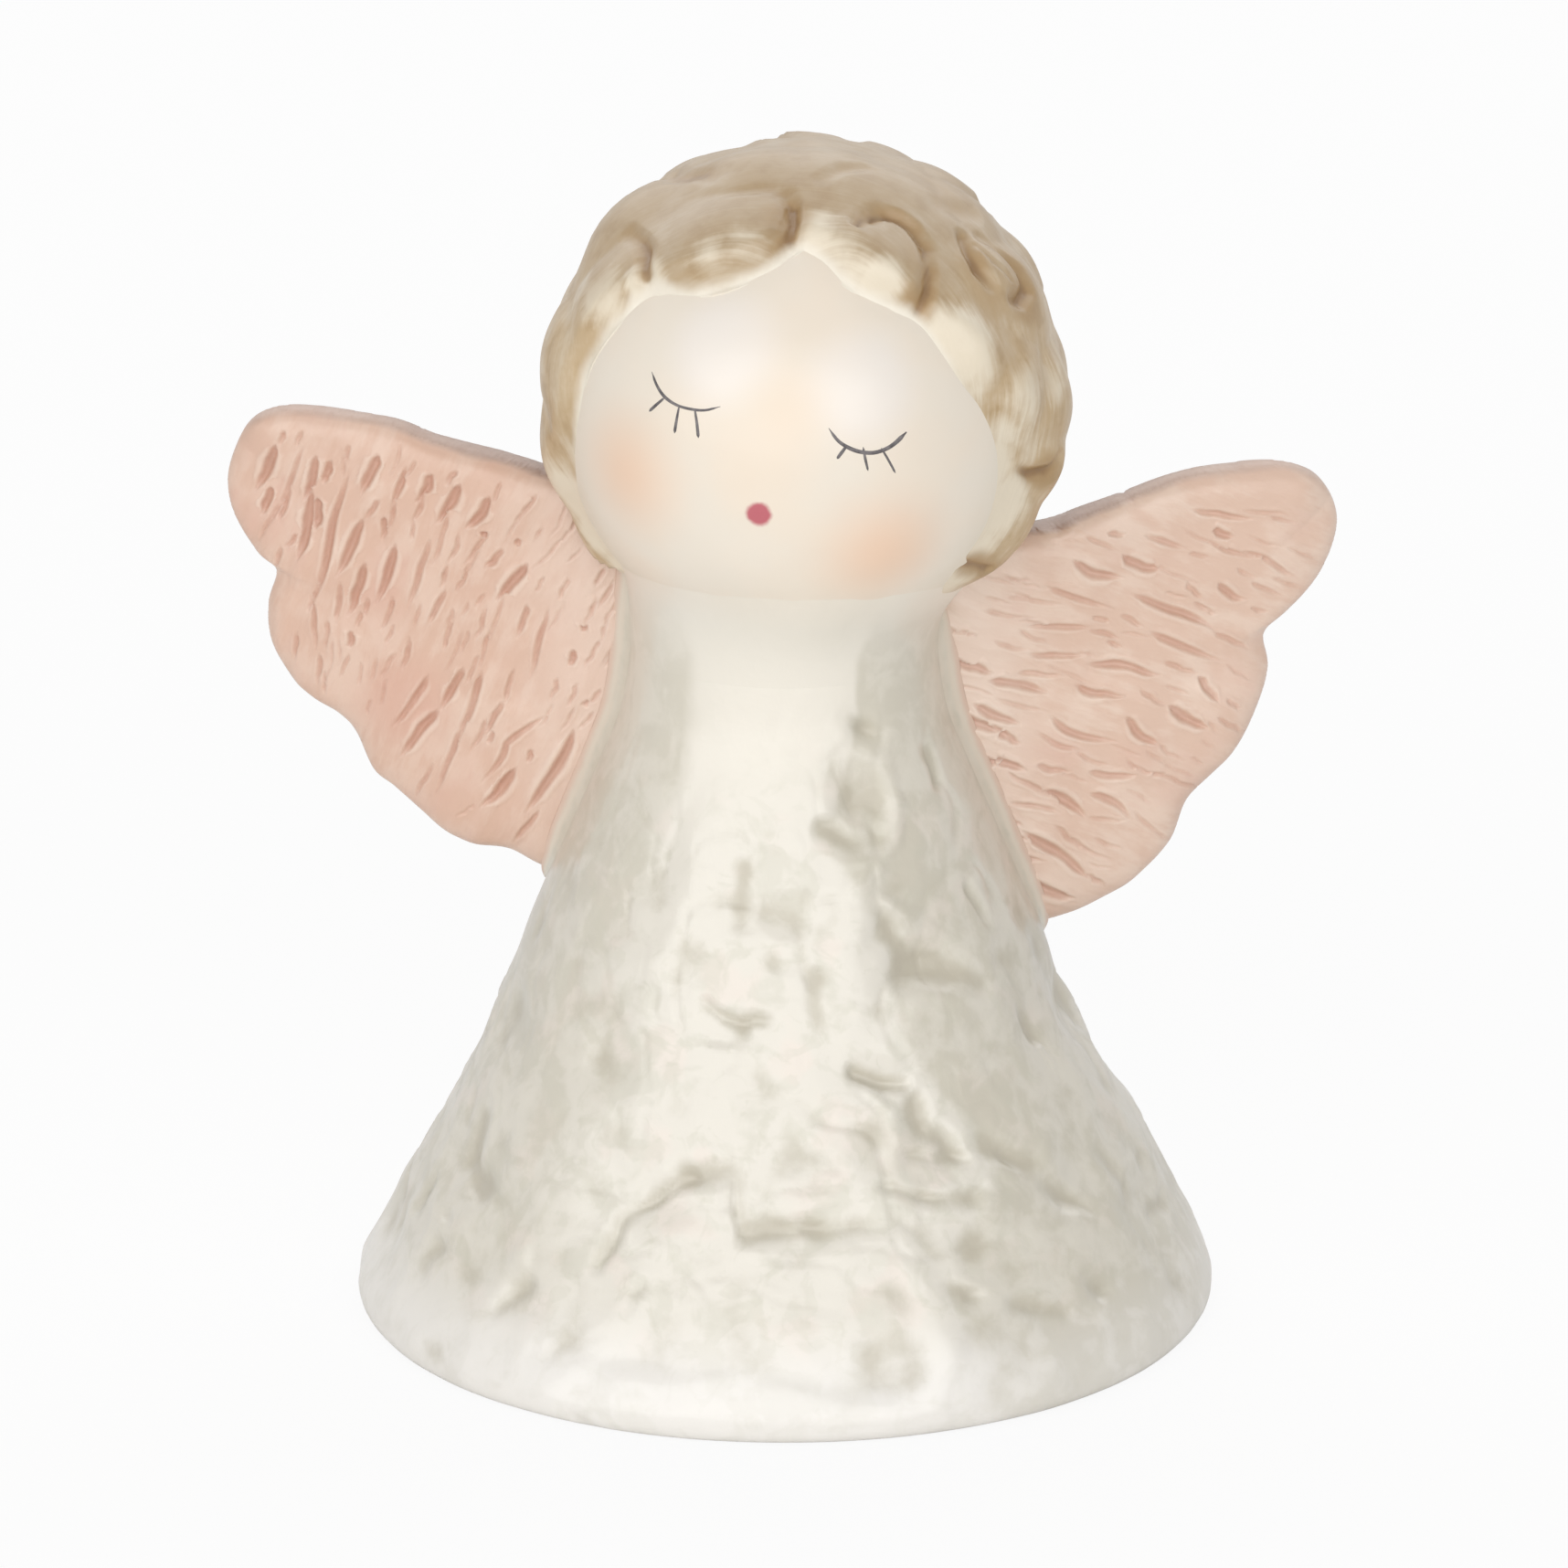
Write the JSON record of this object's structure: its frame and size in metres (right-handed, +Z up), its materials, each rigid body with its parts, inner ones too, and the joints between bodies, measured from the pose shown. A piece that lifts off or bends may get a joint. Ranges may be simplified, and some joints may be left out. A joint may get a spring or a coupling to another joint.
{
  "type": "angel figurine",
  "caption": "Small glazed porcelain sleeping angel with a flared hollow robe, a ball head with curly hair and two lobed wings, standing on an open foot ring.",
  "frame": {"origin": "centre of the foot ring, on the surface that the figure stands on", "axes": "+Z up through the robe, -Y the way the face looks, +X towards the angel's own left wing"},
  "size_m": [0.0784, 0.061, 0.0845],
  "materials": {
    "robe_glaze": "glossy cream white glaze with a grey-beige wash pooled in the pressed hollows",
    "face_glaze": "smooth glossy ivory glaze with peach blush, dark lash lines and a raspberry mouth under it",
    "hair_glaze": "glossy beige-brown wash, dark in the grooves and rubbed to ivory on the high spots",
    "wing_glaze": "satin dusty pink glaze, darker in the feather gouges",
    "slip_glaze": "glossy pale cream glaze over smoothed slip"
  },
  "bodies": {
    "root": {"robe": "robe_glaze", "head": "face_glaze", "hair": "hair_glaze", "neck_slip_bead": "slip_glaze", "left_wing": "wing_glaze", "left_wing_slip_bead": "slip_glaze", "right_wing": "wing_glaze", "right_wing_slip_bead": "slip_glaze"}
  },
  "joints": []
}
